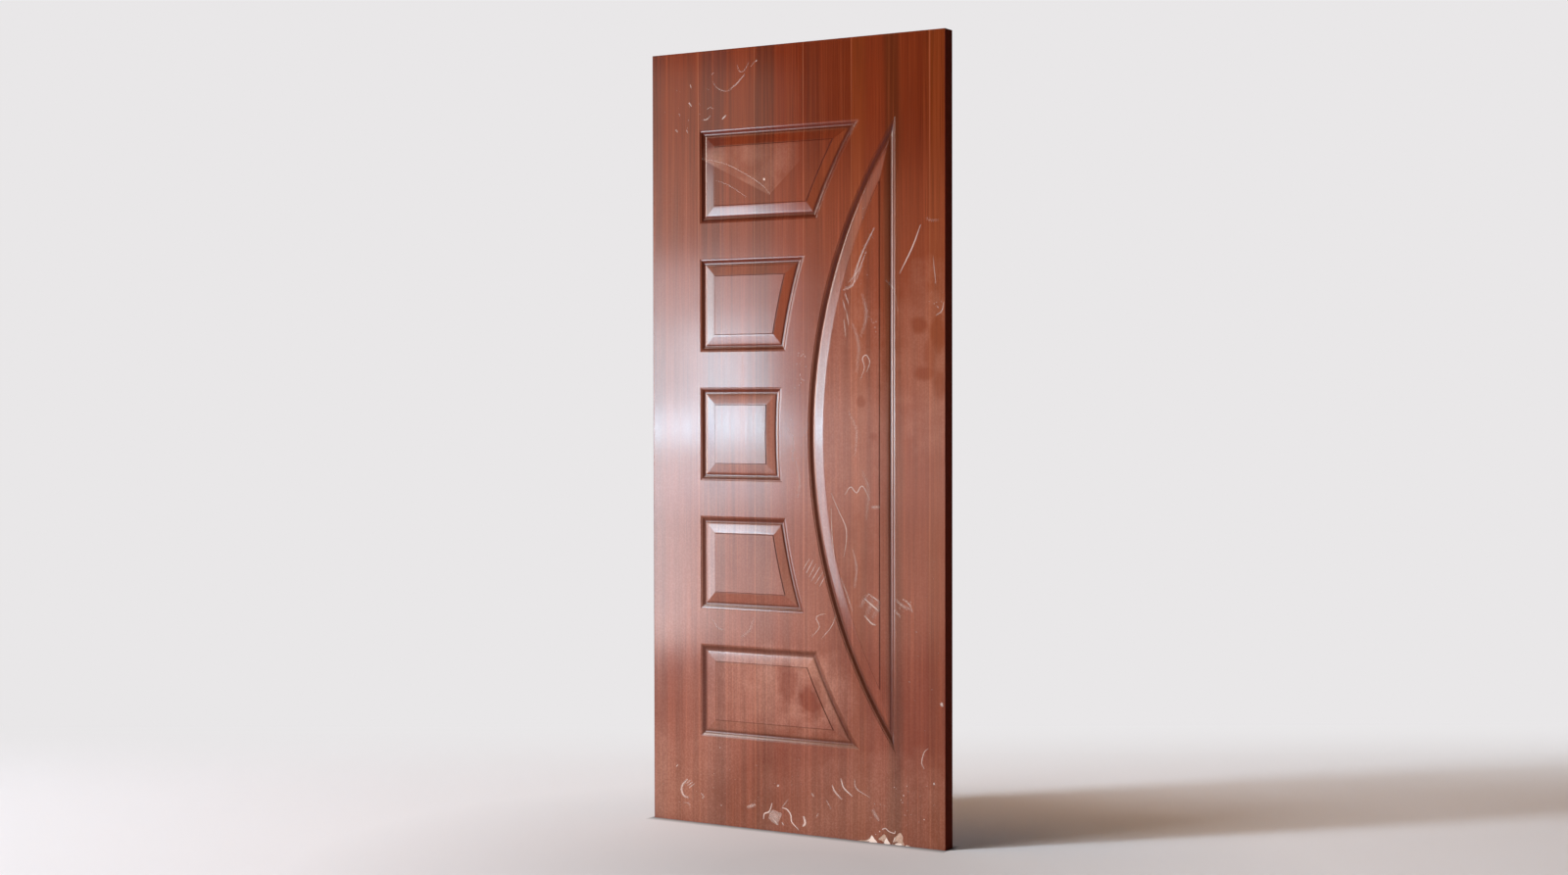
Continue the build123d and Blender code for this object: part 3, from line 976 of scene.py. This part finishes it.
# painted shade: the floor's tone is a little darker in front of the leaf, where the leaf shades it
FLOOR_SHADE_SPOT = (0.25, -0.4, 0)
FLOOR_SHADE_SPOT_REACH = (0.2, 1.3)
FLOOR_SHADE_SPOT_LEVEL = 0.7
# how far in front of the camera the floor begins and ends to run into the even backdrop
BLEND_NEAR = 6.35
BLEND_FAR = 7.9
BACKDROP_TONE = (233, 231, 232)
# the light of the room's floor as the leaf mirrors it: far out in front of the leaf, and close to its
# foot or behind it, with how far in front the one runs into the other
REFLECTED_FLOOR = (1.3, 0.55, 0.55)
REFLECTED_NEAR_FLOOR = (0.2, 0.12, 0.09)
REFLECTED_FLOOR_REACH = (0.4, 1.4)


def stage_material():
    """Pale floor that keeps the leaf's shadow, with painted shade by its foot and in front of it, and
    runs into an evenly pale backdrop.
    """
    material, tree, floor = new_material("pale_studio")
    here = place(tree)
    point = add_node(tree, "SeparateXYZ", {"Vector": here})
    clear = plus(tree, maths(tree, "ABSOLUTE", point.outputs["Y"]), FRONT_Y)
    under = spread(tree, clear, 0.0, FOOT_SHADE_REACH, FOOT_SHADE, 1.0)
    aside = maths(tree, "ABSOLUTE", point.outputs["X"])
    beside = spread(tree, aside, LEAF_HIGH[0], LEAF_HIGH[0] + 0.01)
    away = add_node(tree, "VectorMath", {0: here, 1: FLOOR_SHADE_SPOT}, operation="DISTANCE")
    # painted shade on the floor in front of the leaf
    painted_leaf_shade = spread(tree, away.outputs["Value"], *FLOOR_SHADE_SPOT_REACH, FLOOR_SHADE_SPOT_LEVEL, 1.0)
    shade = times(tree, maths(tree, "MAXIMUM", under, beside), painted_leaf_shade)
    feed(tree, floor.inputs["Base Color"], scaled(tree, srgb(*FLOOR_TONE), shade))
    floor.inputs["Roughness"].default_value = FLOOR_ROUGHNESS
    floor.inputs["Specular IOR Level"].default_value = FLOOR_SHINE
    backdrop = add_node(tree, "Emission", {"Color": srgb(*BACKDROP_TONE)})
    seen = add_node(tree, "LightPath").outputs
    forward = camera_axes()[2]
    from_camera = add_node(tree, "VectorMath", {0: here, 1: CAMERA_PLACE}, operation="SUBTRACT")
    level = (forward.x, forward.y, 0)
    reach = add_node(tree, "VectorMath", {0: from_camera.outputs[0], 1: level}, operation="DOT_PRODUCT")
    inputs = {"Value": reach.outputs["Value"], "From Min": BLEND_NEAR, "From Max": BLEND_FAR}
    blend = add_node(tree, "MapRange", inputs, interpolation_type="SMOOTHSTEP").outputs["Result"]
    blend = times(tree, blend, seen["Is Camera Ray"])
    seen_stage = shader_choice(tree, blend, floor.outputs["BSDF"], backdrop.outputs["Emission"])
    out_front = spread(tree, point.outputs["Y"], -REFLECTED_FLOOR_REACH[0], -REFLECTED_FLOOR_REACH[1])
    mirrored = mix(tree, out_front, REFLECTED_NEAR_FLOOR, REFLECTED_FLOOR)
    reflected = add_node(tree, "Emission", {"Color": mirrored})
    show(tree, shader_choice(tree, seen["Is Glossy Ray"], seen_stage, reflected.outputs["Emission"]))
    return material


BACKDROP_DISTANCE = 5.0
FLOOR_REACH = 9.0
BACKDROP_WIDTH = 30.0
BACKDROP_HEIGHT = 7.0
SWEEP_RADIUS = 2.0
SWEEP_STEPS = 24


def add_stage():
    """A floor that sweeps up into a backdrop, square to the camera's view."""
    right, forward = (Vector((axis.x, axis.y, 0)).normalized() for axis in camera_axes()[::2])
    line = [(-FLOOR_REACH, 0.0)]
    for step in range(SWEEP_STEPS + 1):
        angle = math.pi / 2 * step / SWEEP_STEPS
        far = BACKDROP_DISTANCE + SWEEP_RADIUS * math.sin(angle)
        line.append((far, SWEEP_RADIUS * (1 - math.cos(angle))))
    line.append((BACKDROP_DISTANCE + SWEEP_RADIUS, BACKDROP_HEIGHT))
    vertices, faces = [], []
    for far, height in line:
        for side in (-BACKDROP_WIDTH / 2, BACKDROP_WIDTH / 2):
            vertices.append(forward * far + right * side + Vector((0, 0, height)))
    for step in range(len(line) - 1):
        first = 2 * step
        faces.append((first, first + 1, first + 3, first + 2))
    mesh = bpy.data.meshes.new("studio_sweep")
    mesh.from_pydata(vertices, [], faces)
    mesh.shade_smooth()
    sweep = bpy.data.objects.new("studio_sweep", mesh)
    bpy.context.scene.collection.objects.link(sweep)
    mesh.materials.append(stage_material())
    return sweep


def area_light(name, location, target, width, height, power, colour=(1, 1, 1)):
    """A soft rectangular lamp that faces a point."""
    bpy.ops.object.light_add(type="AREA")
    lamp = bpy.context.object
    lamp.name = name
    lamp.data.shape = "RECTANGLE"
    lamp.data.size = width
    lamp.data.size_y = height
    lamp.data.energy = power
    lamp.data.color = colour
    lamp.visible_camera = False
    lamp.location = location
    lamp.rotation_euler = (Vector(target) - Vector(location)).to_track_quat("-Z", "Y").to_euler()
    return lamp


# the window stands to the left of the camera: its right end on the floor plan, and its run to the left
WINDOW_END = Vector((-2.38, -3.92, 0))
WINDOW_RUN = Vector((-0.746, 0.666, 0)).normalized()
WINDOW_FACING = Vector((0.666, 0.746, 0)).normalized()
# what it shows in upright bands: where each starts and ends along the run and in height, and its light
WINDOW_BANDS = {
    "right_below": (0, 0.42, -0.3, 0.65, 4.2, 4.2, 4.4),
    "left_below": (0.42, 1.8, -0.3, 0.65, 8.4, 9.8, 10.8),
    "sill": (0, 1.8, 0.65, 0.86, 10.8, 12, 13.8),
    "lower_pane": (0, 1.8, 0.86, 0.97, 8.1, 8.7, 8.9),
    "right_strip": (0, 0.9, 0.97, 1.05, 34.6, 47.4, 56.9),
    "left_strip": (0.9, 1.8, 0.97, 1.05, 17.6, 27.2, 37),
    "right_pane": (0.08, 0.42, 1.05, 1.5, 18.5, 22, 25),
    "middle_pane": (0.42, 0.9, 1.05, 1.5, 10.5, 12.3, 13.6),
    "left_pane": (0.9, 1.8, 1.05, 1.5, 18.6, 23.4, 26.3),
    "right_head": (0, 0.9, 1.5, 1.8, 8.2, 7.6, 8),
    "left_head": (0.9, 1.8, 1.5, 1.8, 11.4, 13.2, 14),
    "right_blind": (0, 0.9, 1.8, 2.7, 2.7, 2.1, 1.7),
    "left_blind": (0.9, 1.8, 1.8, 2.2, 7.2, 9, 9.5),
    "right_ceiling": (0, 0.9, 3.4, 4.4, 3.7, 2.3, 1.4),
    "left_ceiling": (0.9, 1.8, 3.4, 4.4, 15.5, 15.5, 15),
    "pier": (1.8, 2.6, -0.3, 3.2, 4.2, 1.1, 0.6),
    "far_sill": (2.6, 3.6, -0.3, 0.7, 11, 7, 6),
    "far_pane": (2.6, 3.6, 0.7, 1.4, 38, 29, 24),
    "far_head": (2.6, 3.6, 1.4, 2.2, 30, 23, 21),
    "far_blind": (2.6, 3.6, 2.2, 3.2, 17, 17.5, 16),
    "low_wall": (-1.6, 0, 0, 0.6, 2.2, 1.4, 1),
    "middle_wall": (-1.6, 0, 0.6, 1.15, 4.5, 2.7, 2.3),
    "high_wall": (-1.6, 0, 1.15, 2.2, 2.2, 0.7, 0.3),
}
HORIZON_TONE = (0.058, 0.046, 0.038)
CEILING_TONE = (0.07, 0.056, 0.048)
# tall, narrow light for the floor alone, which gives the leaf's long shadow: where each lamp stands
# round the leaf and how high, in degrees, its width, its light and its colour
FLOOR_LAMP_DISTANCE = 12.0
FLOOR_LAMP_LENGTH = 2.71
FLOOR_LAMPS = {
    "floor_low": (42.5, 15, 1.22, 163, 0.84, 1.005, 1.16),
    "floor_high": (36, 67, 2, 25, 0.955, 0.99, 1.06),
    "floor_top": (45, 80, 3, 7.5, 1.64, 0.965, 0.447),
}
# a soft lamp behind the leaf, so that its back can be looked at
BACK_LAMP = {
    "location": (-1.6, 4.2, 1.5), "target": (0, 0, 1.05), "width": 2.4, "height": 2, "power": 110,
}


def window_lamp(name, start, end, low, high, *light):
    """One band of the window, facing the leaf, with its light as red, green and blue radiance."""
    width, height = end - start, high - low
    place_on_wall = WINDOW_END + WINDOW_RUN * (start + end) / 2 + Vector((0, 0, (low + high) / 2))
    strongest = max(light)
    colour = tuple(part / strongest for part in light)
    power = strongest * width * height * math.pi
    return area_light(name, place_on_wall, place_on_wall + WINDOW_FACING, width, height, power, colour)


def floor_lamp(name, round_leaf, raised, width, light, *colour):
    """One lamp of the floor's light, turned to the foot of the leaf."""
    level = FLOOR_LAMP_DISTANCE * math.cos(math.radians(raised))
    spot = Vector((
        -level * math.sin(math.radians(round_leaf)), -level * math.cos(math.radians(round_leaf)),
        FLOOR_LAMP_DISTANCE * math.sin(math.radians(raised)),
    ))
    power = light * width * FLOOR_LAMP_LENGTH * math.pi
    return area_light(name, spot, (0, 0, 0), width, FLOOR_LAMP_LENGTH, power, colour)


def link_lamps(lamps, name, pieces):
    """Lets some lamps light only the given pieces."""
    lit = bpy.data.collections.new(name)
    for piece in pieces:
        lit.objects.link(piece)
    for lamp in lamps:
        lamp.light_linking.receiver_collection = lit


def add_lights(pieces, floor):
    """The window's bands and one lamp behind for the leaf, lamps for the floor, and a dim room."""
    lamps = [window_lamp(name, *band) for name, band in WINDOW_BANDS.items()]
    lamps.append(area_light("back_lamp", **BACK_LAMP))
    link_lamps(lamps, "lit_by_window", pieces)
    floor_lamps = [floor_lamp(name, *lamp) for name, lamp in FLOOR_LAMPS.items()]
    link_lamps(floor_lamps, "lit_by_floor_lamps", [floor])
    world = bpy.data.worlds.new("studio_fill")
    bpy.context.scene.world = world
    world.use_nodes = True
    tree = world.node_tree
    towards = add_node(tree, "TexCoord").outputs["Generated"]
    upwards = add_node(tree, "SeparateXYZ", {"Vector": towards}).outputs["Z"]
    room = mix(tree, spread(tree, upwards, 0.25, 0.8), HORIZON_TONE, CEILING_TONE)
    feed(tree, tree.nodes["Background"].inputs["Color"], room)


bpy.context.scene.view_settings.view_transform = "Standard"
add_camera()
sweep = add_stage()

film = film_material()
softwood = timber_material()
edging = edging_material()
finish_nodes(film, "front_skin", "back_skin")
finish_nodes(softwood, "left_stile", "right_stile", "top_rail", "bottom_rail")
finish_nodes(softwood, "left_lock_block", "right_lock_block")
finish_nodes(edging, "left_edge_band", "right_edge_band")
pressed_skins(film, fibre_material())
dust_marks(mark_material())
torn_bits(pale_fibre_material(), film)
add_lights([piece for piece in bpy.data.objects if piece.type == "MESH" and piece != sweep], sweep)
